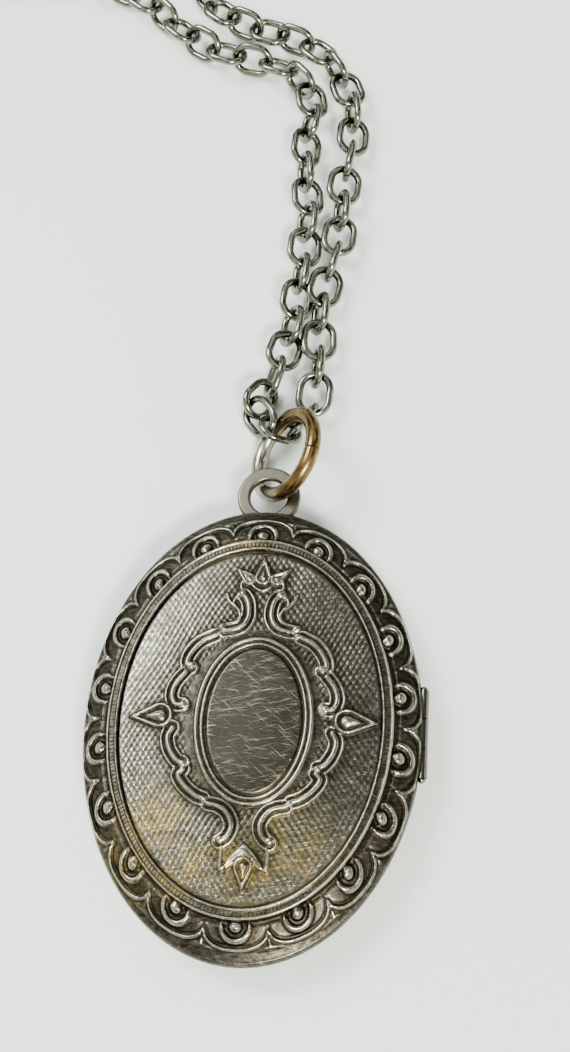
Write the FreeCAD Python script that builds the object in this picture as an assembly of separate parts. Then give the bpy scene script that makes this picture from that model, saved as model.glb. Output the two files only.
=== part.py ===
"""Oval picture locket with a bail, a jump ring and a cable chain, lying on its back.

Millimetres. +Z is the front of the locket, +Y points to the bail and +X to the hinge.
The origin is the middle of the flat on the back cover, on the table.
"""
import FreeCAD
import Part
import math
import os

V = FreeCAD.Vector
X, Y, Z = V(1, 0, 0), V(0, 1, 0), V(0, 0, 1)

# Locket
HALF_LENGTH = 17.0          # half the height of the front rim
HALF_WIDTH = 12.56          # half its width
SPLIT = 2.8                 # height of the joint between the covers
SPLIT_GAP = 0.1             # air between the two rims
BEADS = 18
BEAD_OVAL = (10.9, 14.4)    # half width and half length of the row of beads
BEAD_RADIUS = 0.52
PLATE_OVAL = (3.65, 5.37)   # the smooth plate in the middle

# Hinge
HINGE_X = 12.4
BARREL_RADIUS = 0.4
BARREL_BORE = 0.22
BARREL_SWEEP = 0.48         # room cut in the rims around the barrels
LEAF_X = 11.95              # the small leaves that hold the barrels start here
HINGE_HALF = 3.25
PIN_RADIUS, PIN_HEAD = 0.19, 0.29
KNUCKLE_HALF = 1.05

# Bail and jump ring
BAIL_Y = 18.5
BAIL_OUTER, BAIL_HOLE = 2.45, 1.45
BAIL_LOW, BAIL_HIGH = 2.1, 2.75
RING_RADIUS, RING_WIRE = 3.364, 0.6
RING_CENTRE = V(1.13, 21.92, 3.04)
RING_YAW, RING_TILT, RING_PITCH = 3.3, 46.0, -3.1
RING_SPLIT_AT, RING_SPLIT = 100.0, 0.15

# Chain
LINK_LENGTH, LINK_WIDTH, LINK_WIRE = 3.85, 3.0, 0.6
PITCH = 2.5
STRAND_LINKS = 87
CHAIN_Z = 1.5
GROUPS = (2, 12, 24, 54, STRAND_LINKS)   # the last link of each jointed length
RIGHT_LEAN, LEFT_LEAN = 108.0, -60.0     # roll of the odd links; the even ones stand across

# The first two joints of each strand, at the jump ring, with the rolls of their links
HOOK_ROLL = -27.0
RIGHT_HOOK = ((V(1.35, 24.54, 1.41), 113.0), (V(2.84, 26.69, 1.4), 4.0))
LEFT_HOOK = ((V(-0.5, 24.63, 2.4), -37.0), (V(-1.94, 26.55, 1.87), 45.0))

# How the strands lie: side by side up to a bend to the left, then apart in loose waves
RIGHT_LAY = [(3.09, 29.13, 1.85), (3.1, 31.6), (3.0, 34.2), (3.1, 37), (3.8, 40), (4.3, 43),
             (4.3, 46.5), (4.7, 50), (5.0, 53.2), (4.6, 56.6), (3.2, 59.8), (0.8, 62.3),
             (-2.6, 63.7), (-6.2, 65.2), (-9, 67.6), (-10.6, 71.5), (-9.2, 75.4), (-5, 77.6)]
LEFT_LAY = [(-0.75, 28.42, 1.04), (0.1, 30.7, 2.0), (0.7, 33.2, 1.6), (0.9, 35.6), (1.2, 38.6),
            (1.4, 42), (1.5, 45), (1.2, 48), (0.9, 50.6), (1.1, 53.2), (1.4, 55.6), (0.6, 58.2),
            (-1.4, 59.9), (-4.6, 60.9), (-8, 62.1), (-11.2, 64.4), (-14, 67.2), (-18, 69.6)]
WAVE_RISE = 11.0            # distance between two rows of the waves

# Clasp
CLASP_RADIUS, TUBE_RADIUS, TUBE_BORE = 2.5, 0.9, 0.65
BOLT_RADIUS = 0.58
GAP_FROM, GAP_TO = 150.0, 205.0
EYE_RADIUS, EYE_WIRE = 0.68, 0.24
TIE_RADIUS, TIE_WIRE = 1.8, 0.3
END_RADIUS, END_WIRE = 1.9, 0.4


def profile(*runs):
    """Closed face in the XZ plane from runs of (radius, height): two points make a line,
    more make a smooth curve, and each run starts where the last one ended."""
    edges, last = [], None
    for run in runs:
        points = [V(r, 0, z) for r, z in run]
        if last is not None:
            points.insert(0, last)
        if len(points) == 2:
            edges.append(Part.makeLine(points[0], points[1]))
        else:
            curve = Part.BSplineCurve()
            curve.interpolate(points)
            edges.append(curve.toShape())
        last = points[-1]
    edges.append(Part.makeLine(last, edges[0].Vertexes[0].Point))
    return Part.Face(Part.Wire(edges))


def turned(face):
    return face.revolve(V(0, 0, 0), Z, 360)


def band(points):
    return turned(Part.Face(Part.makePolygon([V(r, 0, z) for r, z in points + points[:1]])))


def sized_x(shape, factor):
    stretch = FreeCAD.Matrix()
    stretch.A11 = factor
    return shape.transformGeometry(stretch)


def oval(shape):
    """Draw a round body in to the oval of the locket."""
    return sized_x(shape, HALF_WIDTH / HALF_LENGTH)


def widened(shape):
    """The same tool before the locket is drawn in, so that it ends up in its own shape."""
    return sized_x(shape, HALF_LENGTH / HALF_WIDTH)


def ellipse_prism(half_x, half_y, low, high):
    wire = Part.Wire(Part.Ellipse(V(0, half_y, low), V(half_x, 0, low), V(0, 0, low)).toShape())
    return Part.Face(wire).extrude(V(0, 0, high - low))


def oval_plate(half_length, low, high):
    """Plate in the proportions of the locket."""
    return ellipse_prism(half_length * HALF_WIDTH / HALF_LENGTH, half_length, low, high)


def box(x0, x1, y0, y1, z0, z1):
    return Part.makeBox(x1 - x0, y1 - y0, z1 - z0, V(x0, y0, z0))


def rod(radius, y0, y1):
    """Cylinder on the hinge line."""
    return Part.makeCylinder(radius, y1 - y0, V(HINGE_X, y0, SPLIT), Y)


def even_oval(half_x, half_y, count):
    """Points at equal distances round an oval, the first at the top."""
    edge = Part.Ellipse(V(0, half_y, 0), V(half_x, 0, 0), V(0, 0, 0)).toShape()
    return edge.discretize(Number=count + 1)[:count]


def ring_section(wire, low, high):
    """Piece of the clasp's tube, between two angles round its middle."""
    face = Part.Face(Part.Wire(Part.makeCircle(wire, V(CLASP_RADIUS, 0, 0), Y)))
    piece = face.revolve(V(0, 0, 0), Z, high - low)
    piece.rotate(V(0, 0, 0), Z, low)
    return piece


def frame(origin, along, roll):
    """Placement with its X along a direction, rolled from level by an angle."""
    a = math.radians(roll)
    along = FreeCAD.Vector(along).normalize()
    side = Z.cross(along).normalize()
    up = along.cross(side)
    across = side * math.cos(a) + up * math.sin(a)
    return matrix(origin, along, across)


def matrix(origin, first, second):
    third = first.cross(second)
    return FreeCAD.Matrix(first.x, second.x, third.x, origin.x, first.y, second.y, third.y,
                          origin.y, first.z, second.z, third.z, origin.z, 0, 0, 0, 1)


def placed(shape, place):
    return shape.transformed(place)


def chain_link():
    """One oval link, level, its long way on X."""
    r, h = (LINK_WIDTH - LINK_WIRE) / 2, (LINK_LENGTH - LINK_WIDTH) / 2
    path = Part.Wire([Part.makeLine(V(-h, r, 0), V(h, r, 0)),
                      Part.Arc(V(h, r, 0), V(h + r, 0, 0), V(h, -r, 0)).toShape(),
                      Part.makeLine(V(h, -r, 0), V(-h, -r, 0)),
                      Part.Arc(V(-h, -r, 0), V(-h - r, 0, 0), V(-h, r, 0)).toShape()])
    section = Part.Wire(Part.makeCircle(LINK_WIRE / 2, V(0, r, 0), X))
    return path.makePipeShell([section], True, True)


def waves(x_near, x_far, y_first, rows):
    """Rows of a loose serpentine, from x_near to x_far and back, joined by half circles."""
    r = WAVE_RISE / 2
    points = []
    for row in range(rows):
        near, far = (x_near, x_far) if row % 2 == 0 else (x_far, x_near)
        way = 1 if far > near else -1
        y = y_first + row * WAVE_RISE
        points += [(near + r * way, y), ((near + far) / 2, y), (far - r * way, y)]
        for a in (-45, 0, 45):
            across, up = math.cos(math.radians(a)), math.sin(math.radians(a))
            points.append((far - r * way * (1 - across), y + r * (1 + up)))
    return points


def strand(hook, lay):
    """The joints between the links of a strand, and the roll of each link."""
    curve = Part.BSplineCurve()
    curve.interpolate([V(*p) if len(p) == 3 else V(p[0], p[1], CHAIN_Z) for p in lay])
    joints = [point for point, roll in hook]
    for i in range(STRAND_LINKS - len(hook) + 1):
        joints.append(curve.value(curve.parameterAtDistance(i * PITCH, curve.FirstParameter)))
    return joints


def links(joints, hook, lean):
    shape, out = chain_link(), []
    for i in range(len(joints) - 1):
        roll = hook[i][1] if i < len(hook) else lean + 90 * (i % 2) + ((i * 5) % 7 - 3) * 3
        middle = (joints[i] + joints[i + 1]) * 0.5
        out.append(placed(shape, frame(middle, joints[i + 1] - joints[i], roll)))
    return out


def front_cover():
    lip, skin = SPLIT + SPLIT_GAP / 2, 0.4
    shell = turned(profile(
        [(16.45, lip), (17.0, lip)], [(17.0, 3.1)],
        [(16.6, 3.45), (15.7, 3.95), (14.6, 4.4), (14.05, 4.58)],
        [(13.85, 4.85), (13.6, 4.97), (13.35, 4.85), (13.15, 4.6)],
        [(9.0, 5.05), (5.0, 5.22), (0, 5.28)], [(0, 5.28 - skin)],
        [(5.0, 4.82), (9.0, 4.64), (13.0, 4.16)],
        [(14.6, 3.95), (15.7, 3.5), (16.45, 2.98)]))
    beads = [widened(Part.makeSphere(BEAD_RADIUS, p + V(0, 0, 4.55)))
             for p in even_oval(*BEAD_OVAL, BEADS)]
    px, py = PLATE_OVAL
    px = px * HALF_LENGTH / HALF_WIDTH
    plate = ellipse_prism(px, py, 5.0, 5.55)
    moat = ellipse_prism(px + 1.7, py + 1.3, 5.0, 5.6).cut(ellipse_prism(px + 0.8, py + 0.6, 4.9, 5.7))
    return shell.multiFuse(beads + [plate, moat]).cut(hinge_room())


def back_cover():
    lip = SPLIT - SPLIT_GAP / 2
    shell = turned(profile(
        [(0, -0.05), (10.5, -0.05)], [(13.2, 0.25), (15.4, 1.0), (16.5, 1.9), (16.85, lip)],
        [(16.4, lip)], [(16.05, 2.0), (15.0, 1.3), (12.9, 0.65), (10.4, 0.4)], [(0, 0.4)]))
    return shell.cut(hinge_room())


def hinge_room():
    """Room in a rim for the barrels and the heads of the pin."""
    return widened(rod(BARREL_SWEEP, -HINGE_HALF - 0.5, HINGE_HALF + 0.5))


def barrel(y0, y1, low, high):
    """Hinge barrel with the small leaf that solders it to a rim."""
    leaf = box(LEAF_X, HINGE_X - 0.2, y0, y1, low, high)
    return rod(BARREL_RADIUS, y0, y1).fuse(leaf).cut(rod(BARREL_BORE, y0 - 1, y1 + 1))


def hinge_pin():
    pin = rod(PIN_RADIUS, -HINGE_HALF - 0.1, HINGE_HALF + 0.1)
    for end in (-1, 1):
        head = Part.makeSphere(PIN_HEAD, V(HINGE_X, end * (HINGE_HALF + 0.06), SPLIT))
        keep = box(11, 14, HINGE_HALF + 0.02, 5, 2, 4) if end > 0 else \
            box(11, 14, -5, -HINGE_HALF - 0.02, 2, 4)
        pin = pin.fuse(head.common(keep))
    return pin.removeSplitter()


def bail():
    disc = Part.makeCylinder(BAIL_OUTER, BAIL_HIGH - BAIL_LOW, V(0, BAIL_Y, BAIL_LOW))
    ring = disc.cut(Part.makeCylinder(BAIL_HOLE, 2, V(0, BAIL_Y, 1.5)))
    rims = [e for e in ring.Edges if isinstance(e.Curve, Part.Circle)]
    return disc, ring.makeFillet(0.2, rims)


def jump_ring():
    yaw, tilt, pitch = (math.radians(a) for a in (RING_YAW, RING_TILT, RING_PITCH))
    up = V(math.sin(yaw) * math.cos(pitch), math.cos(yaw) * math.cos(pitch), math.sin(pitch))
    level = V(math.cos(yaw), -math.sin(yaw), 0)
    across = level * math.cos(tilt) + level.cross(up) * math.sin(tilt)
    ring = Part.makeTorus(RING_RADIUS, RING_WIRE)
    slit = box(2.5, 4.5, -RING_SPLIT / 2, RING_SPLIT / 2, -1, 1)
    slit.rotate(V(0, 0, 0), Z, RING_SPLIT_AT)
    return placed(ring.cut(slit), matrix(RING_CENTRE, up, across))


def clasp():
    """Spring ring round the origin, its eye on +X: tube, bolt, spring and eye. The knob
    of the bolt runs in a slot, 58 degrees from shut to drawn back."""
    tube = ring_section(TUBE_RADIUS, GAP_TO, 360 + GAP_FROM)
    tube = tube.cut(ring_section(TUBE_BORE, GAP_TO - 1, 347))
    tube = tube.cut(ring_section(TUBE_BORE, GAP_FROM - 10, GAP_FROM + 1))
    slot = Part.Face(Part.makePolygon([V(CLASP_RADIUS, 0, -0.42), V(CLASP_RADIUS + 2, 0, -0.42),
                                       V(CLASP_RADIUS + 2, 0, 0.42), V(CLASP_RADIUS, 0, 0.42),
                                       V(CLASP_RADIUS, 0, -0.42)])).revolve(V(0, 0, 0), Z, 72)
    slot.rotate(V(0, 0, 0), Z, 223)
    tube = tube.cut(slot)
    bolt = ring_section(BOLT_RADIUS, GAP_FROM - 6, 262)
    knob = Part.makeCylinder(0.34, 1.1, V(CLASP_RADIUS + 0.3, 0, 0), X)
    knob = knob.fuse(Part.makeSphere(0.5, V(CLASP_RADIUS + 1.55, 0, 0)))
    knob.rotate(V(0, 0, 0), Z, 230)
    bolt = bolt.fuse(knob)
    eye = Part.makeTorus(EYE_RADIUS, EYE_WIRE, V(CLASP_RADIUS + 1.74, 0, 0), Y).cut(tube)
    return tube, bolt, clasp_spring(), eye


def clasp_spring():
    """The coil behind the bolt, drawn at the length it has with the bolt drawn back."""
    turns, coil, wire, start, sweep = 6, 0.45, 0.09, 323.5, 21.0
    points = []
    for i in range(turns * 8 + 1):
        a = math.radians(start + sweep * i / (turns * 8))
        b = 2 * math.pi * i / 8
        r = CLASP_RADIUS + coil * math.cos(b)
        points.append(V(r * math.cos(a), r * math.sin(a), coil * math.sin(b)))
    curve = Part.BSplineCurve()
    curve.interpolate(points)
    section = Part.Wire(Part.makeCircle(wire, points[0], curve.tangent(curve.FirstParameter)[0]))
    return Part.Wire(curve.toShape()).makePipeShell([section], True, True)


def save(name, shape):
    shape.exportStep("parts/" + name + ".step")


os.makedirs("parts", exist_ok=True)

# Covers, hinge and catch
front, back = front_cover(), back_cover()
bail_disc, bail_ring = bail()
knuckle = barrel(-KNUCKLE_HALF, KNUCKLE_HALF, SPLIT + 0.1, SPLIT + 0.45)
barrels = [barrel(KNUCKLE_HALF + 0.1, HINGE_HALF, SPLIT - 0.5, SPLIT - 0.1),
           barrel(-HINGE_HALF, -KNUCKLE_HALF - 0.1, SPLIT - 0.5, SPLIT - 0.1)]
front = front.cut(widened(knuckle))
for tool in [bail_disc] + barrels:
    back = back.cut(widened(tool))

closing_band = band([(15.6, 1.95), (15.7, 1.95), (15.95, 2.35), (15.95, 3.1), (15.6, 3.1)])
closing_band = closing_band.cut(box(-18, 0, -2.1, 2.1, 1, 4)).cut(widened(bail_disc))
tongue = band([(15.4, 2.2), (15.85, 2.2), (15.85, 3.24), (15.4, 3.45)])
tongue = tongue.common(box(-18, 0, -1.8, 1.8, 1, 4))

# Picture frames, sprung into the covers over the clear sheets
back_frame = band([(14.6, 1.3), (15.0, 1.47), (15.25, 1.64), (15.25, 1.9), (13.4, 1.9), (13.4, 1.6),
                   (14.6, 1.6)])
front_frame = band([(14.6, 3.76), (14.9, 3.68), (15.25, 3.53), (15.25, 3.3), (13.4, 3.3), (13.4, 3.6),
                    (14.6, 3.6)])

save("front_cover", oval(front))
save("back_cover", oval(back).cut(box(-15, 15, -20, 20, -1, 0)))
save("closing_band", oval(closing_band))
save("catch_tongue", oval(tongue))
save("hinge_barrels", Part.makeCompound(barrels))
save("hinge_knuckle", knuckle)
save("hinge_pin", hinge_pin())
save("back_frame", oval(back_frame))
save("front_frame", oval(front_frame))
save("back_window", oval_plate(14.5, 1.38, 1.58))
save("front_window", oval_plate(14.5, 3.62, 3.82))
save("bail_ring", bail_ring)
save("jump_ring", jump_ring())

# Chain: the link in the jump ring with two on each side of it, then the lengths of each strand
right_joints = strand(RIGHT_HOOK, RIGHT_LAY + waves(-5, 30, 78, 4))
left_joints = strand(LEFT_HOOK, LEFT_LAY + waves(-18, -55, 71, 4))
right_links = links(right_joints, RIGHT_HOOK, RIGHT_LEAN)
left_links = links(left_joints, LEFT_HOOK, LEFT_LEAN)
near, far = LEFT_HOOK[0][0], RIGHT_HOOK[0][0]
middle_link = placed(chain_link(), frame((near + far) * 0.5, far - near, HOOK_ROLL))
save("chain_middle", Part.makeCompound([middle_link] + right_links[:GROUPS[0]]
                                       + left_links[:GROUPS[0]]))
for side, row in (("right", right_links), ("left", left_links)):
    for n in range(1, len(GROUPS)):
        save("chain_%s_%d" % (side, n), Part.makeCompound(row[GROUPS[n - 1]:GROUPS[n]]))

# Clasp at the end of the right strand, past a ring that ties it on; a ring ends the left strand
end = right_joints[-1]
tie_drop = 0.56
tie_way = V(-math.cos(math.asin(tie_drop / 3.6)), 0, -tie_drop / 3.6)
tie = end - tie_way * 0.375 + tie_way * TIE_RADIUS
save("clasp_tie_ring", placed(Part.makeTorus(TIE_RADIUS, TIE_WIRE), frame(tie, tie_way, 0)))
eye_at = tie + tie_way * TIE_RADIUS
clasp_place = FreeCAD.Matrix()
clasp_place.move(eye_at - V(CLASP_RADIUS + 1.74, 0, 0))
for name, piece in zip(("clasp_tube", "clasp_bolt", "clasp_spring", "clasp_eye"), clasp()):
    save(name, placed(piece, clasp_place))

end = left_joints[-1]
ring_drop = end.z - END_WIRE - 0.02
end_way = V(math.cos(math.asin(ring_drop / 3.8)), 0, -ring_drop / 3.8)
ring_at = end - end_way * 0.45 + end_way * END_RADIUS
save("end_ring", placed(Part.makeTorus(END_RADIUS, END_WIRE), frame(ring_at, end_way, 0)))
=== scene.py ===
import bpy
import math
import numpy as np
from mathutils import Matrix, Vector

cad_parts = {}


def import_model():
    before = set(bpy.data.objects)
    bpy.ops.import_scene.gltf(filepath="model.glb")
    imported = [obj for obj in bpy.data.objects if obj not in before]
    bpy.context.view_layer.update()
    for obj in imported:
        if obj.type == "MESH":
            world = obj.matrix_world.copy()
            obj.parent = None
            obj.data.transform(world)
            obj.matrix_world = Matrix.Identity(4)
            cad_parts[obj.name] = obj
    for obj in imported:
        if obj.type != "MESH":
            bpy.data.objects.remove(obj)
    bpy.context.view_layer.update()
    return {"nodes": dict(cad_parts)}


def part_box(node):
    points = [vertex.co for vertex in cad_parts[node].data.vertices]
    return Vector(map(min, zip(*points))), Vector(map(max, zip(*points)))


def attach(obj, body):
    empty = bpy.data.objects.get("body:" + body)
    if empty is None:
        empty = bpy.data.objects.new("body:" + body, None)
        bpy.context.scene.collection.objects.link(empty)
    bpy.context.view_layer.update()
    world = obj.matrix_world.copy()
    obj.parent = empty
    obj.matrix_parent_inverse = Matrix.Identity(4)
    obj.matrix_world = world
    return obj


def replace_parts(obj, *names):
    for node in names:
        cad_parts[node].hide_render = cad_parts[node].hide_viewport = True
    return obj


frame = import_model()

MM = 0.001

# Face of the locket, in millimetres. The rim is read from the CAD node; the rest is the relief.
rim_low, rim_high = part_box("front_cover")
RIM_A, RIM_B = rim_high.x / MM, rim_high.y / MM
RIM_LOW, SPLIT = rim_low.z / MM, 2.8
BEADS, BEAD_A, BEAD_B = 18, 10.9, 14.4
FIELD_EDGE = 0.775            # the field ends and the border begins, as a share of the rim
AXIS_X = 0.3                  # the pressing sits a little right of the middle
HINGE_X = (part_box("hinge_pin")[0].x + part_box("hinge_pin")[1].x) / 2 / MM
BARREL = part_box("hinge_barrels")[1].x / MM - HINGE_X
HINGE_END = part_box("hinge_pin")[1].y / MM

RIM_LIP = 0.10                # thickness of the rim over the hinge barrels
HINGE_AIR = 0.07              # air left round the barrels
FIELD_STEP = 0.078            # distance between the points of the field
BORDER_COLUMNS = 900          # points round the border
INSIDE_COLUMNS = 240          # points round the inside of the cover
TABLE_HALF = 1.5              # metres
TABLE_DROP = 0.00003          # metres, the table lies this far under the locket

# Height of the cover from the middle to the rim, share of the rim against millimetres
SHAPE_T = (0, 0.3, 0.53, 0.70, 0.775, 0.83, 0.87, 0.925, 0.965, 0.985, 0.996, 1.0)
SHAPE_Z = (5.28, 5.22, 5.02, 4.75, 4.60, 4.52, 4.30, 3.92, 3.58, 3.38, 3.2, 3.02)


def smooth(x, low, high):
    s = np.clip((x - low) / (high - low), 0, 1)
    return s * s * (3 - 2 * s)


def bump(d, half):
    """Rounded bump across a line, 1 at the line and 0 at half its width away."""
    return np.clip(1 - (d / half) ** 2, 0, 1) ** 0.75


def cover_height(t):
    knots, value = np.array(SHAPE_T), np.array(SHAPE_Z)
    slope = np.gradient(value, knots)
    slope[0] = 0
    i = np.clip(np.searchsorted(knots, t, side="right") - 1, 0, len(knots) - 2)
    h = knots[i + 1] - knots[i]
    s = np.clip((t - knots[i]) / h, 0, 1)
    return ((1 + 2 * s) * (1 - s) ** 2 * value[i] + s * (1 - s) ** 2 * h * slope[i]
            + s * s * (3 - 2 * s) * value[i + 1] + s * s * (s - 1) * h * slope[i + 1])


def box_blur(grid, reach, wrap=False):
    out = grid
    for axis in (0, 1):
        mode = "wrap" if wrap and axis == 1 else "edge"
        pad = [(0, 0), (0, 0)]
        pad[axis] = (reach, reach)
        c = np.cumsum(np.pad(out, pad, mode=mode), axis=axis)
        c = np.concatenate([np.zeros_like(np.take(c, [0], axis)), c], axis)
        n = out.shape[axis]
        out = (np.take(c, range(2 * reach + 1, 2 * reach + 1 + n), axis)
               - np.take(c, range(n), axis)) / (2 * reach + 1)
    return out


# Mesh helpers

def mesh_object(name, verts, faces, body, material, attributes=None):
    mesh = bpy.data.meshes.new(name)
    mesh.from_pydata((np.asarray(verts) * MM).tolist(), [], np.asarray(faces).tolist())
    mesh.polygons.foreach_set("use_smooth", [True] * len(mesh.polygons))
    for key, values in (attributes or {}).items():
        layer = mesh.attributes.new(key, "FLOAT", "POINT")
        layer.data.foreach_set("value", np.asarray(values, dtype=np.float32).ravel())
    mesh.materials.append(material)
    mesh.update()
    obj = bpy.data.objects.new(name, mesh)
    bpy.context.collection.objects.link(obj)
    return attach(obj, body)


def grid_faces(rows, columns, wrap):
    i, j = np.meshgrid(np.arange(rows - 1), np.arange(columns if wrap else columns - 1),
                       indexing="ij")
    k = (j + 1) % columns
    return np.stack([i * columns + j, i * columns + k, (i + 1) * columns + k,
                     (i + 1) * columns + j], -1).reshape(-1, 4)


# Curves of the pressing

def curve(points, step=0.04):
    """Smooth line through given points, sampled evenly."""
    p = np.array(points, float)
    p = np.vstack([2 * p[0] - p[1], p, 2 * p[-1] - p[-2]])
    out = []
    for a, b, c, d in zip(p[:-3], p[1:-2], p[2:-1], p[3:]):
        n = max(int(np.linalg.norm(c - b) / step), 2)
        s = np.linspace(0, 1, n, endpoint=False)[:, None]
        out.append(0.5 * (2 * b + (c - a) * s + (2 * a - 5 * b + 4 * c - d) * s ** 2
                          + (3 * b - a - 3 * c + d) * s ** 3))
    return np.vstack(out + [p[-2:-1]])


def both_sides(lines):
    """The lines as given, for the right half, and their mirror images."""
    return [np.array(l, float) + (AXIS_X, 0) for l in lines] + \
        [np.array(l, float) * (-1, 1) + (AXIS_X, 0) for l in lines]


# Right half, from the axis. Ribbons are scrolls with a rounded middle and a thin edge line.
RIBBONS = both_sides([
    [(1.3, 9.5), (0.98, 9.0), (0.84, 8.3), (0.88, 7.7), (1.2, 7.1), (1.8, 6.78), (2.5, 6.65)],
    [(3.1, 6.3), (4.0, 5.85), (4.75, 5.05), (5.1, 4.2), (4.8, 3.75)],
    [(5.15, 3.4), (5.75, 2.6), (6.0, 1.7), (5.7, 1.0), (5.2, 0.95)],
    [(5.75, -0.75), (6.05, -1.4), (5.85, -2.3), (5.3, -3.1), (4.85, -3.3)],
    [(4.75, -3.75), (5.05, -4.2), (4.5, -5.0), (3.7, -5.6), (3.15, -5.8)],
    [(2.75, -6.15), (1.9, -6.35), (1.3, -6.85), (1.0, -7.6), (1.25, -8.35), (1.75, -8.75)]])
FINE_LINES = both_sides([
    [(1.4, 9.65), (1.9, 9.3), (2.0, 8.8), (1.62, 8.3), (1.5, 7.85), (1.75, 7.4), (2.6, 7.15)],
    [(2.6, 9.6), (2.35, 9.0), (1.85, 8.5)],
    [(0, 9.85), (0.5, 10.1), (1.0, 10.6), (1.42, 10.72), (1.58, 10.2), (1.35, 9.8)],
    [(0, -8.95), (0.7, -9.6), (1.55, -10.65), (1.65, -9.9), (1.6, -9.1)],
    [(3.4, 6.75), (4.5, 6.15), (5.3, 5.2), (5.55, 4.2), (5.2, 3.6)]])
BARS = both_sides([[(0, -9.35), (0.6, -9.95), (1.2, -10.45)]])
KNOBS = [(s * x + AXIS_X, y, r) for x, y, r in (
    (1.4, 9.6, 0.28), (2.75, 6.95, 0.3), (2.85, 6.35, 0.26), (4.75, 3.95, 0.3), (5.15, 0.95, 0.32),
    (4.8, -3.4, 0.28), (3.0, -5.95, 0.28), (1.75, -8.6, 0.3)) for s in (-1, 1)]


def teardrop(root, radius, tip):
    """Outline of a leaf: round at the root, drawn out to a point."""
    root, tip = np.array(root, float), np.array(tip, float)
    way = math.atan2(*(tip - root)[::-1])
    open_angle = math.acos(radius / np.linalg.norm(tip - root))
    a = way + np.linspace(open_angle, 2 * math.pi - open_angle, 14)
    return np.vstack([root + radius * np.stack([np.cos(a), np.sin(a)], -1), tip])


# Root, radius and tip of each leaf
LEAVES = [teardrop((s * x + AXIS_X, y), r, (s * tx + AXIS_X, ty)) for s, x, y, r, tx, ty in (
    (1, 6.75, 0.15, 0.92, 9.05, 0.12), (-1, 6.75, 0.15, 0.92, 9.05, 0.02),
    (1, 1.0, 10.8, 0.42, 1.95, 11.6), (-1, 1.0, 10.8, 0.42, 1.95, 11.6),
    (1, 0, 10.95, 0.58, 0, 12.6), (1, 0, -10.4, 0.66, 0, -12.0))]


def distance_to(points, x, y):
    out = np.full(x.shape, 99.0, np.float32)
    near = (np.abs(x - points[:, 0].mean()) < np.ptp(points[:, 0]) / 2 + 1.2) & \
        (np.abs(y - points[:, 1].mean()) < np.ptp(points[:, 1]) / 2 + 1.2)
    px, py = x[near].astype(np.float32), y[near].astype(np.float32)
    best = np.full(px.shape, 1e4, np.float32)
    for qx, qy in points.astype(np.float32):
        best = np.minimum(best, (px - qx) ** 2 + (py - qy) ** 2)
    out[near] = np.sqrt(best)
    return out


def polygon_depth(corners, x, y):
    """Distance inside a convex outline, negative outside."""
    c = np.asarray(corners)
    area = np.sum(c[:, 0] * np.roll(c[:, 1], -1) - np.roll(c[:, 0], -1) * c[:, 1])
    depth = np.full(x.shape, 99.0)
    for p, q in zip(c, np.roll(c, -1, 0)):
        e = (q - p) / np.linalg.norm(q - p)
        side = (e[0] * (y - p[1]) - e[1] * (x - p[0])) * np.sign(area)
        depth = np.minimum(depth, side)
    return depth


def oval_offset(x, y, a, b, cx=AXIS_X, cy=0.0):
    """Signed distance outside an oval, close enough near its line."""
    t = np.hypot((x - cx) / a, (y - cy) / b) + 1e-9
    grad = np.hypot((x - cx) / a ** 2, (y - cy) / b ** 2) / t
    return (t - 1) / grad


def field_relief(x, y):
    """Relief of the field, and how smooth it is (1 on the cartouche, 0 on the hatching)."""
    ribbon = np.full(x.shape, 99.0)
    for line in RIBBONS:
        ribbon = np.minimum(ribbon, distance_to(curve(line), x, y))
    fine = np.full(x.shape, 99.0)
    for line in FINE_LINES:
        fine = np.minimum(fine, distance_to(curve(line), x, y))
    h = 0.30 * bump(ribbon, 0.27) + 0.20 * bump(np.abs(ribbon - 0.47), 0.13)
    h -= 0.07 * bump(np.abs(ribbon - 0.31), 0.10)
    h = np.maximum(h, 0.20 * bump(fine, 0.14))
    smooth_area = np.maximum(1 - smooth(ribbon, 0.5, 0.62), 1 - smooth(fine, 0.14, 0.24))
    for line in BARS:
        bar = distance_to(curve(line), x, y)
        h = np.maximum(h, 0.24 * bump(bar, 0.24))
        smooth_area = np.maximum(smooth_area, 1 - smooth(bar, 0.3, 0.4))
    for kx, ky, r in KNOBS:
        d = np.hypot(x - kx, y - ky)
        h = np.maximum(h, 0.34 * np.sqrt(np.clip(1 - (d / (r + 0.05)) ** 2, 0, 1)))
        smooth_area = np.maximum(smooth_area, 1 - smooth(d, r, r + 0.15))
    for leaf in LEAVES:
        inside = polygon_depth(leaf, x, y)
        size = inside.max()
        dome = 0.34 * np.sqrt(np.clip((inside - 0.42 * size) / (0.58 * size), 0, 1))
        h = np.where(inside > -0.1, np.maximum(dome, 0.30 * bump(inside - 0.13 * size, 0.17)), h)
        smooth_area = np.maximum(smooth_area, smooth(inside, -0.22, -0.1))
    plate = oval_offset(x, y, 3.5, 5.42, 0.36)
    h = np.where(plate < 1.0, np.maximum(h * smooth(plate, 0.6, 1.0), 0), h)
    h += 0.10 * (1 - smooth(plate, -0.22, 0.0)) - 0.07 * bump(np.abs(plate - 0.06), 0.11)
    h += 0.17 * bump(np.abs(plate - 0.26), 0.15) + 0.21 * bump(np.abs(plate - 0.66), 0.20)
    h -= 0.05 * bump(np.abs(plate - 0.45), 0.08)
    inner = oval_offset(x, y, 5.0, 6.55, AXIS_X, 0.1)
    smooth_area = np.maximum(smooth_area, 1 - smooth(inner, -0.1, 0.12))
    return h, smooth_area, plate


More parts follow.
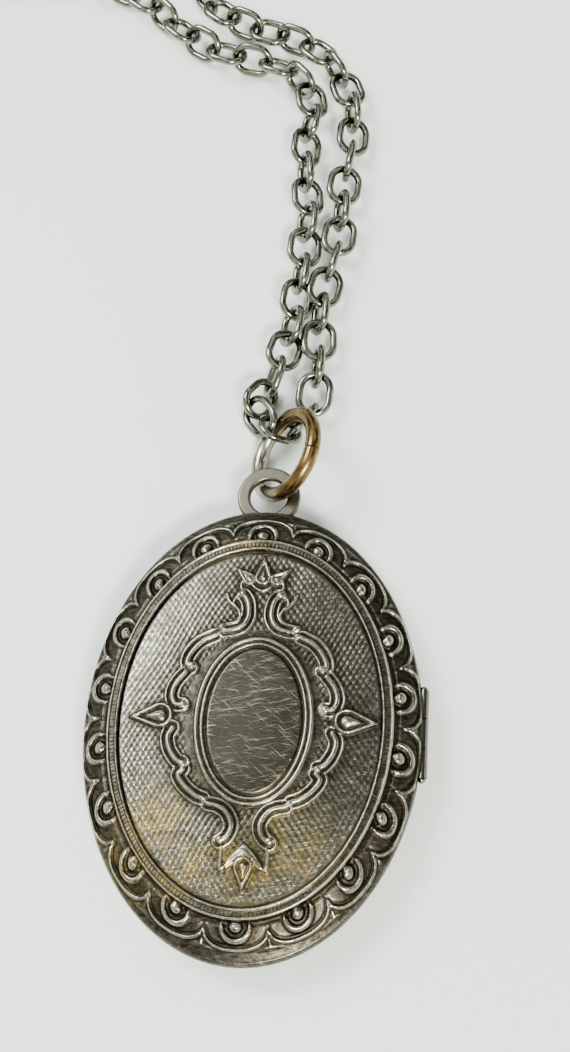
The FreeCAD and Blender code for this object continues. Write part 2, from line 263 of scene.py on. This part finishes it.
def hatching(x, y):
    """Two sets of fine diagonal cuts that leave small diamonds."""
    out = 0
    for angle, pitch, drift in ((62, 0.37, 0.0), (-54, 0.40, 1.9)):
        a = math.radians(angle)
        across = x * math.sin(a) - y * math.cos(a) + 0.12 * np.sin(0.5 * x + 0.4 * y + drift)
        depth = 0.75 + 0.35 * np.sin(0.55 * x - 0.35 * y + 2.2 * drift)
        out = out + depth * (np.abs(np.sin(math.pi * across / pitch)) ** 0.8 - 0.6)
    return out / 2


# Materials

def material(name):
    m = bpy.data.materials.new(name)
    m.use_nodes = True
    return m, m.node_tree, m.node_tree.nodes["Principled BSDF"]


def node(tree, kind, **values):
    n = tree.nodes.new(kind)
    for key, value in values.items():
        if key in n.inputs:
            n.inputs[key].default_value = value
        else:
            setattr(n, key, value)
    return n


def noise(tree, scale, detail=4.0, rough=0.6):
    where = node(tree, "ShaderNodeTexCoord")
    n = node(tree, "ShaderNodeTexNoise", Scale=scale, Detail=detail, Roughness=rough)
    tree.links.new(where.outputs["Object"], n.inputs["Vector"])
    return n.outputs["Fac"]


def scratches(tree, angle, length, width, detail=2.0):
    """Noise drawn out along one direction; length and width are in metres. Each direction
    turns about its own far point, so that the sets don't line up in the middle of a piece."""
    where = node(tree, "ShaderNodeTexCoord")
    m = node(tree, "ShaderNodeMapping", vector_type="TEXTURE")
    m.inputs["Scale"].default_value = (length, width, length)
    m.inputs["Location"].default_value = (0.13 + 0.31 * angle, 0.09 - 0.23 * angle, 0)
    m.inputs["Rotation"].default_value = (0, 0, angle)
    n = node(tree, "ShaderNodeTexNoise", Scale=1.0, Detail=detail, Roughness=0.55)
    tree.links.new(where.outputs["Object"], m.inputs["Vector"])
    tree.links.new(m.outputs["Vector"], n.inputs["Vector"])
    return n.outputs["Fac"]


def ramp(tree, value, *stops):
    r = node(tree, "ShaderNodeValToRGB")
    while len(r.color_ramp.elements) < len(stops):
        r.color_ramp.elements.new(0.5)
    for e, (at, colour) in zip(r.color_ramp.elements, stops):
        e.position = at
        e.color = colour if len(colour) == 4 else (*colour, 1)
    tree.links.new(value, r.inputs["Fac"])
    return r.outputs["Color"]


def grey(v):
    return (v, v, v)


def lighter(colour, factor):
    return tuple(min(1, factor * c) for c in colour)


def mixed(tree, fac, a, b, blend="MIX"):
    m = node(tree, "ShaderNodeMix", data_type="RGBA", blend_type=blend)
    for socket, value in ((m.inputs[0], fac), (m.inputs[6], a), (m.inputs[7], b)):
        if isinstance(value, (tuple, float, int)):
            socket.default_value = (*value, 1) if isinstance(value, tuple) else value
        else:
            tree.links.new(value, socket)
    return m.outputs[2]


def calc(tree, operation, a, b=0.5):
    m = node(tree, "ShaderNodeMath", operation=operation, use_clamp=True)
    for socket, value in zip(m.inputs, (a, b)):
        if isinstance(value, (float, int)):
            socket.default_value = value
        else:
            tree.links.new(value, socket)
    return m.outputs[0]


def attribute(tree, name):
    return node(tree, "ShaderNodeAttribute", attribute_name=name).outputs["Fac"]


def bumped(tree, shader, *layers):
    """Each layer is (height, strength, distance in metres)."""
    last = None
    for height, strength, distance in layers:
        b = node(tree, "ShaderNodeBump", Strength=strength, Distance=distance)
        tree.links.new(height, b.inputs["Height"])
        if last:
            tree.links.new(last, b.inputs["Normal"])
        last = b.outputs["Normal"]
    tree.links.new(last, shader.inputs["Normal"])


def antique_silver(name, bright, dark, stain_colour=(0.34, 0.25, 0.085)):
    """Worn plate: bright on what stands proud, brown-grey in the hollows, scratched all over."""
    m, tree, s = material(name)
    s.inputs["Metallic"].default_value = 1.0
    wear, plate = attribute(tree, "wear"), attribute(tree, "plate")
    grain = noise(tree, 2600, 5, 0.7)
    patch = noise(tree, 260, 4, 0.6)
    evenness = calc(tree, "SUBTRACT", 0.8, calc(tree, "MULTIPLY", plate, 0.6))
    spread = calc(tree, "MULTIPLY", grain, evenness)
    level = calc(tree, "SUBTRACT", calc(tree, "ADD", wear, spread), 0.38)
    level = calc(tree, "SUBTRACT", level, calc(tree, "MULTIPLY", patch, 0.20))
    middle = tuple(0.62 * d + 0.22 * b for d, b in zip(dark, bright))
    colour = ramp(tree, level, (0.08, dark), (0.36, middle), (0.60, bright),
                  (0.9, lighter(bright, 2.1)))
    rust = ramp(tree, noise(tree, 900, 5, 0.75), (0.40, grey(0)), (0.64, grey(1)))
    rust = calc(tree, "MULTIPLY", attribute(tree, "stain"), rust)
    stained = mixed(tree, wear, tuple(0.35 * c for c in stain_colour),
                    tuple(1.7 * c for c in stain_colour))
    rough = ramp(tree, level, (0.1, grey(0.36)), (0.5, grey(0.19)), (1.0, grey(0.10)))
    tree.links.new(rough, s.inputs["Roughness"])
    marks = 0.0
    for angle in (0.16, -0.12, 0.32, -0.7):
        line = scratches(tree, angle, 0.0022, 0.00006)
        marks = calc(tree, "ADD", ramp(tree, line, (0.62, grey(0)), (0.70, grey(1))), marks)
    strength = calc(tree, "ADD", calc(tree, "MULTIPLY", plate, 0.75), 0.12)
    marks = calc(tree, "MULTIPLY", marks, strength)
    scored = mixed(tree, calc(tree, "MULTIPLY", marks, 0.55), colour, lighter(bright, 2.0))
    tree.links.new(mixed(tree, rust, scored, stained), s.inputs["Base Color"])
    bumped(tree, s, (grain, 0.30, 0.00003), (marks, 0.8, 0.00004))
    return m


def plain_metal(name, bright, dark, rough=(0.2, 0.38), crevice_shade_depth=1.0, scale=1500):
    """Polished wire or sheet, dulled unevenly, with painted shade from ambient occlusion darkening
    it where pieces touch and in narrow hollows.
    """
    m, tree, s = material(name)
    s.inputs["Metallic"].default_value = 1.0
    grain = noise(tree, scale, 5, 0.65)
    patch = noise(tree, scale / 6, 3, 0.55)
    # Painted shade: the colour is darkened wherever ambient occlusion finds pieces touching or
    # lying close together.
    ao = node(tree, "ShaderNodeAmbientOcclusion", samples=6)
    ao.inputs["Distance"].default_value = 0.0009
    painted_ao_shade = ramp(tree, ao.outputs["AO"], (0.25, grey(1 - crevice_shade_depth)), (0.85, grey(1)))
    mean = calc(tree, "MULTIPLY", calc(tree, "ADD", grain, patch), 0.5)
    level = calc(tree, "MULTIPLY", mean, painted_ao_shade)
    colour = ramp(tree, level, (0.12, dark), (0.5, bright), (0.8, lighter(bright, 1.2)))
    tree.links.new(colour, s.inputs["Base Color"])
    dull = ramp(tree, grain, (0.3, grey(rough[1])), (0.65, grey(rough[0])))
    tree.links.new(dull, s.inputs["Roughness"])
    lines = scratches(tree, 0.5, 0.0014, 0.00014, 3.0)
    bumped(tree, s, (grain, 0.15, 0.00002), (lines, 0.10, 0.00002))
    return m


def worn_brass(name):
    """Brass browned by wear on one side of the ring; the plating still holds on the other."""
    m, tree, s = material(name)
    s.inputs["Metallic"].default_value = 1.0
    where = node(tree, "ShaderNodeTexCoord")
    parts = node(tree, "ShaderNodeSeparateXYZ")
    tree.links.new(where.outputs["Generated"], parts.inputs["Vector"])
    grain = noise(tree, 900, 5, 0.65)
    patch = noise(tree, 220, 4, 0.6)
    ragged = calc(tree, "MULTIPLY", calc(tree, "SUBTRACT", patch, 0.3), 0.35)
    side = calc(tree, "ADD", parts.outputs["X"], ragged)
    plated = ramp(tree, side, (0.34, grey(1)), (0.50, grey(0)))
    brass = ramp(tree, patch, (0.30, (0.055, 0.032, 0.014)), (0.52, (0.20, 0.125, 0.045)),
                 (0.72, (0.50, 0.34, 0.10)))
    silver = ramp(tree, grain, (0.3, (0.12, 0.105, 0.08)), (0.65, (0.46, 0.43, 0.36)))
    tree.links.new(mixed(tree, plated, brass, silver), s.inputs["Base Color"])
    tree.links.new(ramp(tree, grain, (0.3, grey(0.34)), (0.65, grey(0.17))), s.inputs["Roughness"])
    lines = scratches(tree, 0.5, 0.0014, 0.00014, 3.0)
    bumped(tree, s, (grain, 0.18, 0.00003), (lines, 0.10, 0.00002))
    return m


def clear_sheet(name):
    m, tree, s = material(name)
    s.inputs["Transmission Weight"].default_value = 1.0
    s.inputs["IOR"].default_value = 1.47
    haze = noise(tree, 400, 4, 0.6)
    tree.links.new(ramp(tree, haze, (0.3, grey(0.04)), (0.8, grey(0.16))), s.inputs["Roughness"])
    tint = ramp(tree, haze, (0.3, (0.93, 0.94, 0.92)), (0.8, (0.88, 0.88, 0.84)))
    tree.links.new(tint, s.inputs["Base Color"])
    bumped(tree, s, (haze, 0.05, 0.00002))
    return m


def floor_material():
    m, tree, s = material("table")
    fine = noise(tree, 900, 4, 0.6)
    broad = noise(tree, 14, 3, 0.5)
    colour = ramp(tree, broad, (0.3, (0.85, 0.92, 0.85)), (0.7, (0.88, 0.945, 0.88)))
    tree.links.new(colour, s.inputs["Base Color"])
    tree.links.new(ramp(tree, fine, (0.3, grey(0.26)), (0.7, grey(0.34))), s.inputs["Roughness"])
    bumped(tree, s, (fine, 0.03, 0.00002))
    return m


SILVER = antique_silver("silver_front", (0.40, 0.385, 0.305), (0.022, 0.017, 0.010))
# In each plain_metal call, the fifth value sets how dark the painted crevice shade from ambient
# occlusion gets.
BACK = plain_metal("silver_back", (0.34, 0.315, 0.275), (0.05, 0.040, 0.030),
                   (0.20, 0.38), 0.8, 700)
INSIDE = plain_metal("silver_inside", (0.66, 0.64, 0.60), (0.28, 0.25, 0.21),
                     (0.16, 0.30), 0.5, 900)
BAIL = plain_metal("silver_bail", (0.155, 0.145, 0.11), (0.05, 0.040, 0.028),
                   (0.28, 0.44), 1.0, 1200)
BRASS = worn_brass("ring_brass")
CHAIN = plain_metal("chain_steel", (0.225, 0.22, 0.175), (0.018, 0.015, 0.011),
                    (0.11, 0.24), 1.0, 1600)
CLASP = plain_metal("clasp_steel", (0.48, 0.47, 0.43), (0.08, 0.07, 0.06), (0.16, 0.30), 0.8, 1300)
CLEAR = clear_sheet("clear_sheet")


# Front cover

def hinge_clear(verts, thick=0.0):
    """Lifts the rim over the hinge barrels so that they can turn."""
    dx = verts[:, 0] - HINGE_X
    room = BARREL + HINGE_AIR
    top = SPLIT + np.sqrt(np.clip(room ** 2 - dx ** 2, 0, None)) + thick
    near = (np.abs(verts[:, 1]) < HINGE_END + 0.1) & (np.abs(dx) < room)
    verts[:, 2] = np.where(near, np.maximum(verts[:, 2], top), verts[:, 2])
    return verts


def stains(x, y):
    """Where the plating has gone: the lower field, the lower left border, a little at the top."""
    spots = ((-0.5, -10.6, 4.2, 2.0, 1.0), (3.6, -8.9, 2.6, 2.4, 0.9), (-6.3, -8.0, 2.2, 2.4, 1.0),
             (-8.4, -10.6, 2.3, 2.6, 0.9), (0.6, -4.2, 2.4, 0.8, 0.7), (-4.5, -10.8, 2.4, 2.0, 0.8),
             (1.0, 2.6, 1.6, 1.6, 0.25), (-1.5, 13.7, 3.0, 0.5, 0.4))
    out = 0
    for cx, cy, rx, ry, k in spots:
        out = np.maximum(out, k * np.exp(-((x - cx) / rx) ** 2 - ((y - cy) / ry) ** 2))
    return out


def front_field():
    xs = np.arange(-RIM_A * 0.80, RIM_A * 0.80 + FIELD_STEP, FIELD_STEP)
    ys = np.arange(-RIM_B * 0.80, RIM_B * 0.80 + FIELD_STEP, FIELD_STEP)
    x, y = np.meshgrid(xs, ys)
    t = np.hypot(x / RIM_A, y / RIM_B)
    relief, smooth_area, plate = field_relief(x, y)
    edge = smooth(t, 0.762, 0.772)
    hatch = hatching(x, y) * (1 - smooth_area) * (1 - smooth(t, 0.745, 0.765))
    z = cover_height(t) + relief + 0.075 * hatch - 0.03 * edge
    relief = relief + 0.16 * hatch - 0.05 * bump(np.abs(t - 0.768) * 12, 0.2)
    wear = 0.41 + 2.2 * (relief - box_blur(relief, 6)) + 1.0 * (relief - box_blur(relief, 14))
    on_plate = 1 - smooth(plate, -0.3, -0.1)
    wear = np.where(on_plate > 0, wear * (1 - on_plate) + 0.54 * on_plate, wear)
    rust = stains(x, y) * (1 - on_plate)
    keep = (t < 0.79)
    index = np.cumsum(keep.ravel()).reshape(keep.shape) - 1
    quad = keep[:-1, :-1] & keep[:-1, 1:] & keep[1:, 1:] & keep[1:, :-1]
    faces = np.stack([index[:-1, :-1][quad], index[:-1, 1:][quad], index[1:, 1:][quad],
                      index[1:, :-1][quad]], -1)
    verts = np.stack([x[keep], y[keep], z[keep]], -1)
    return mesh_object("front_field", verts, faces, "locket_front", SILVER,
                       {"wear": np.clip(wear, 0, 1)[keep], "stain": rust[keep],
                        "plate": on_plate[keep]})


def oval_table(a, b, count=4000):
    """Distance round an oval from its top, against the angle."""
    phi = np.linspace(0, 2 * math.pi, count)
    p = np.stack([a * np.sin(phi), b * np.cos(phi)], -1)
    return phi, np.append(0, np.cumsum(np.linalg.norm(np.diff(p, axis=0), axis=1)))


def border_relief(x, y, t):
    """Ridge, beads, crescents and scallops; s runs round the row of beads and r outwards."""
    phi_knots, arc = oval_table(BEAD_A, BEAD_B)
    phi = np.mod(np.arctan2(x / BEAD_A, y / BEAD_B), 2 * math.pi)
    pitch = arc[-1] / BEADS
    arc_at = np.interp(phi, phi_knots, arc)
    phi_arc = np.unwrap(arc_at, axis=1, period=arc[-1])
    s = np.mod(arc_at + pitch / 2, pitch) - pitch / 2
    r = oval_offset(x, y, BEAD_A, BEAD_B, 0.0)
    rho = np.hypot(s, r)
    turn = np.abs(np.arctan2(s, r + 1e-9))
    h = 0.34 * np.sqrt(np.clip(1 - (rho / 0.48) ** 2, 0, 1))
    h -= 0.07 * bump(np.abs(rho - 0.62), 0.2)
    taper = np.clip(1.15 - (turn / math.radians(118)) ** 2, 0, 1)
    h += 0.27 * np.minimum(taper, 1) * bump(np.abs(rho - 1.0), 0.09 + 0.15 * taper)
    u = np.clip(np.abs(s) / (pitch / 2), 0, 1)
    line = 0.30 + 1.24 * np.sqrt(np.clip(1 - u ** 2.8, 0, 1))
    step = np.gradient(phi_arc, axis=1)
    slope = np.gradient(line, axis=1) / (step + 1e-9)
    off = (r - line) / np.sqrt(1 + np.clip(slope, -9, 9) ** 2)
    h += 0.19 * bump(off, 0.13) - 0.06 * bump(off + 0.24, 0.14)
    rim = smooth(t, 0.955, 0.985)
    h += 0.13 * smooth(off, 0.14, 0.42) * (1 - rim) * (1 - smooth(r, 1.5, 1.75))
    h = h * smooth(t, 0.822, 0.838) * (1 - smooth(t, 0.985, 0.998))
    h += 0.05 * bump((t - 0.988) * 80, 0.6)
    q = (t - 0.80) * np.hypot(RIM_A * np.sin(phi), RIM_B * np.cos(phi)) * 0.93
    ridge = 0.38 * bump(q - 0.31, 0.17) + 0.36 * bump(q + 0.24, 0.19)
    milled = 0.5 + 0.5 * np.sin(arc_at * 2 * math.pi / 0.30)
    ridge = np.maximum(ridge, (0.25 + 0.03 * milled) * (1 - smooth(np.abs(q), 0.30, 0.46)))
    return h + ridge - 0.08 * bump(q - 0.62, 0.22)


def front_border():
    columns = BORDER_COLUMNS
    phi_knots, arc = oval_table(RIM_A, RIM_B)
    phi = np.interp(np.arange(columns) * arc[-1] / columns, arc, phi_knots)
    t = np.concatenate([np.linspace(FIELD_EDGE - 0.007, 0.97, 66), np.linspace(0.973, 1.0, 12)])
    tt, pp = np.meshgrid(t, phi, indexing="ij")
    x, y = tt * RIM_A * np.sin(pp), tt * RIM_B * np.cos(pp)
    relief = border_relief(x, y, tt)
    z = cover_height(tt) + relief
    close, wide = box_blur(relief, 3, True), box_blur(relief, 8, True)
    wear = 0.28 + 2.3 * (relief - close) + 1.2 * (relief - wide)
    low = np.stack([x[-1], y[-1], np.full(columns, RIM_LOW + 0.02)], -1)
    verts = np.concatenate([np.stack([x, y, z], -1).reshape(-1, 3), low])
    rows = len(t) + 1
    faces = grid_faces(rows, columns, True)[:, ::-1]

    def add(values, last):
        return np.append(np.clip(values, 0, 1).ravel(), np.full(columns, last))

    return mesh_object("front_border", hinge_clear(verts, RIM_LIP), faces, "locket_front", SILVER,
                       {"wear": add(wear, 0.45), "stain": add(stains(x, y), 0.0)})


def front_inside():
    """Lip of the rim and the hollow of the cover."""
    shape = [(1.0, RIM_LOW + 0.02), (0.998, RIM_LOW), (0.968, RIM_LOW), (0.967, 2.98), (0.95, 3.2),
             (0.924, 3.5), (0.89, 3.75), (0.859, 3.95), (0.82, 4.06), (0.765, 4.16), (0.66, 4.42),
             (0.53, 4.64), (0.4, 4.76), (0.29, 4.82), (0.15, 4.87), (0.05, 4.88), (0.002, 4.88)]
    columns = INSIDE_COLUMNS
    phi_knots, arc = oval_table(RIM_A, RIM_B)
    phi = np.interp(np.arange(columns) * arc[-1] / columns, arc, phi_knots)
    verts = np.concatenate([np.stack([t * RIM_A * np.sin(phi), t * RIM_B * np.cos(phi),
                                      np.full(columns, z)], -1) for t, z in shape])
    faces = grid_faces(len(shape), columns, True)[:, ::-1]
    return mesh_object("front_inside", hinge_clear(verts), faces, "locket_front", INSIDE)


for piece in (front_field(), front_border(), front_inside()):
    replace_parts(piece, "front_cover")


# Chain links: each one is drawn again, smooth, where the CAD link lies

WIRE = 0.3                    # radius of the wire


def loose_parts(points, edges):
    """The points of each loose part; the CAD mesh is open along the edges of its faces."""
    grid, weld = np.unique(np.round(points, 7), axis=0, return_inverse=True)
    a, b = weld.ravel()[edges].T
    label = np.arange(len(grid))
    while True:
        new = label.copy()
        low = np.minimum(label[a], label[b])
        np.minimum.at(new, a, low)
        np.minimum.at(new, b, low)
        new = new[new]
        if (new == label).all():
            return [grid[label == part] for part in np.unique(label)]
        label = new


def link_shape(half_long, half_wide, wire, around=44, section=14):
    """Closed tube along the outline of a link, its long way on X."""
    bend = half_wide - wire
    half_straight = half_long - half_wide
    a = np.linspace(0, 2 * math.pi, around, endpoint=False) + math.pi / around
    out = np.stack([np.cos(a), np.sin(a), 0 * a], -1)
    middle = out * bend + np.stack([np.sign(np.cos(a)) * half_straight, 0 * a, 0 * a], -1)
    b = np.linspace(0, 2 * math.pi, section, endpoint=False)
    up = np.array([0, 0, 1.0])
    ring = out[:, None, :] * np.cos(b)[None, :, None] + up * np.sin(b)[None, :, None]
    verts = (middle[:, None, :] + wire * ring).reshape(-1, 3)
    faces = grid_faces(around + 1, section, True) % (around * section)
    return verts, faces


def smooth_chain(name):
    obj = frame["nodes"][name]
    mesh = obj.data
    points = np.empty(len(mesh.vertices) * 3)
    mesh.vertices.foreach_get("co", points)
    edges = np.empty(len(mesh.edges) * 2, np.int64)
    mesh.edges.foreach_get("vertices", edges)
    place = np.array(obj.matrix_world)
    points = points.reshape(-1, 3) @ place[:3, :3].T + place[:3, 3]
    verts, faces, count = [], [], 0
    for part in loose_parts(points, edges.reshape(-1, 2)):
        p = part / MM
        centre = p.mean(0)
        axes = np.linalg.eigh(np.cov((p - centre).T))[1][:, ::-1]
        local = (p - centre) @ axes
        centre = centre + axes @ ((local.max(0) + local.min(0)) / 2)
        half = np.ptp(local, axis=0) / 2
        v, f = link_shape(half[0], half[1], WIRE)
        verts.append(v @ axes.T + centre)
        faces.append(f + count)
        count += len(v)
    return mesh_object("smooth_" + name, np.vstack(verts), np.vstack(faces), name, CHAIN)


for name in list(frame["nodes"]):
    if name.startswith("chain_"):
        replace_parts(smooth_chain(name), name)


# CAD pieces whose shape is right: only the finish is added

FINISH = {"back_cover": BACK, "closing_band": INSIDE, "catch_tongue": INSIDE,
          "hinge_barrels": CHAIN, "hinge_knuckle": CHAIN, "hinge_pin": CHAIN,
          "back_frame": INSIDE, "front_frame": INSIDE, "back_window": CLEAR,
          "front_window": CLEAR, "bail_ring": BAIL, "jump_ring": BRASS, "clasp_tube": CLASP,
          "clasp_bolt": CLASP, "clasp_spring": CLASP, "clasp_eye": CLASP}
for name, obj in frame["nodes"].items():
    finish = FINISH.get(name, CHAIN)
    obj.data.materials.clear()
    obj.data.materials.append(finish)
    obj.data.polygons.foreach_set("use_smooth", [True] * len(obj.data.polygons))


# Table, light and camera

def table():
    mesh = bpy.data.meshes.new("table")
    corners = [(x * TABLE_HALF, y * TABLE_HALF, -TABLE_DROP)
               for x, y in ((-1, -1), (1, -1), (1, 1), (-1, 1))]
    mesh.from_pydata(corners, [], [(0, 1, 2, 3)])
    mesh.materials.append(floor_material())
    obj = bpy.data.objects.new("table", mesh)
    bpy.context.collection.objects.link(obj)


def area(name, place, aim, size, power, colour):
    data = bpy.data.lights.new(name, "AREA")
    data.shape, data.size, data.size_y = "RECTANGLE", size[0], size[1]
    data.energy, data.color = power, colour
    obj = bpy.data.objects.new(name, data)
    obj.location = place
    obj.rotation_euler = (Vector(aim) - Vector(place)).to_track_quat("-Z", "Y").to_euler()
    bpy.context.collection.objects.link(obj)


def world():
    """Soft room light with brighter and darker parts for the metal to mirror, behind a plain
    pale backdrop."""
    w = bpy.data.worlds.new("studio")
    bpy.context.scene.world = w
    w.use_nodes = True
    tree = w.node_tree
    where = node(tree, "ShaderNodeTexCoord")
    blobs = node(tree, "ShaderNodeTexNoise", Scale=2.3, Detail=2.0, Roughness=0.5)
    tree.links.new(where.outputs["Generated"], blobs.inputs["Vector"])
    light = ramp(tree, blobs.outputs["Fac"], (0.41, (0.012, 0.012, 0.010)),
                 (0.50, (0.26, 0.27, 0.25)), (0.60, (2.3, 2.4, 2.3)))
    seen = node(tree, "ShaderNodeLightPath").outputs["Is Camera Ray"]
    background = tree.nodes["Background"]
    tree.links.new(mixed(tree, seen, light, (0.80, 0.83, 0.80)), background.inputs["Color"])
    background.inputs["Strength"].default_value = 0.9


table()
world()
area("key", (0.16, -0.34, 0.42), (0, 0.01, 0), (0.16, 0.10), 5.5, (1.0, 0.97, 0.92))
area("fill", (-0.35, 0.25, 0.55), (0, 0.03, 0), (0.3, 0.3), 6.0, (0.93, 0.98, 1.0))

camera = bpy.data.objects.new("camera", bpy.data.cameras.new("camera"))
bpy.context.collection.objects.link(camera)
camera.location = (0.014683, -0.029913, 0.115624)
camera.rotation_euler = (0.390477, 0.092310, 0.060802)
camera.data.sensor_width = 36.0
camera.data.lens = 36.0 * 1600 / 1052
camera.data.clip_start, camera.data.clip_end = 0.005, 20
bpy.context.scene.camera = camera
